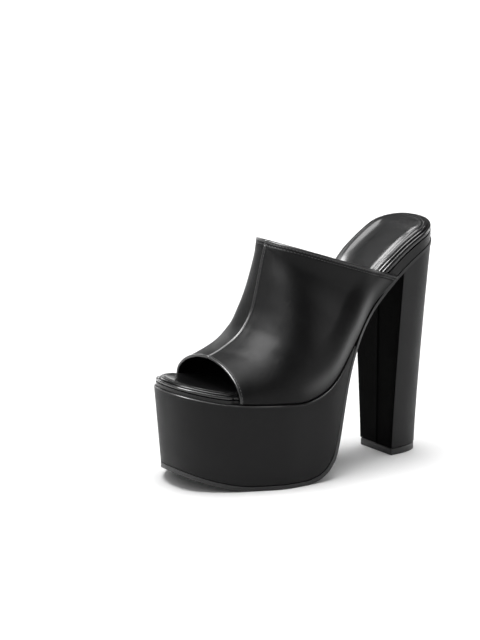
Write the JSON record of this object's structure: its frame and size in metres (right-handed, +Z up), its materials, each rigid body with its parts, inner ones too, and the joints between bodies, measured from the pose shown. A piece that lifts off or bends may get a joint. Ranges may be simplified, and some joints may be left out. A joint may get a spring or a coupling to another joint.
{
  "type": "platform mule",
  "caption": "Peep-toe mule on a high covered platform with a block heel, hollow two-part upper and padded sock, standing empty on its sole.",
  "frame": {"origin": "middle of the underside of the shoe's box, on the floor", "axes": "+Z up, -Y towards the toe, +X towards the outer side of the left foot"},
  "size_m": [0.0936, 0.2058, 0.1656],
  "materials": {
    "sole_rubber": "matt black rubber sheet",
    "platform_leather": "satin black leather drawn over the platform",
    "band_leather": "semi-gloss black leather band",
    "insole_leather": "semi-gloss black leather with a rolled edge",
    "sock_leather": "glossy smooth black lining leather",
    "upper_leather": "smooth satin black calf leather",
    "heel_leather": "satin black leather wrapped round the heel",
    "tip_rubber": "hard black rubber"
  },
  "bodies": {
    "root": {"outsole": "sole_rubber", "platform": "platform_leather", "footbed": "band_leather", "insole": "insole_leather", "sock": "sock_leather", "upper": "upper_leather", "heel": "heel_leather", "heel_tip": "tip_rubber"}
  },
  "joints": []
}
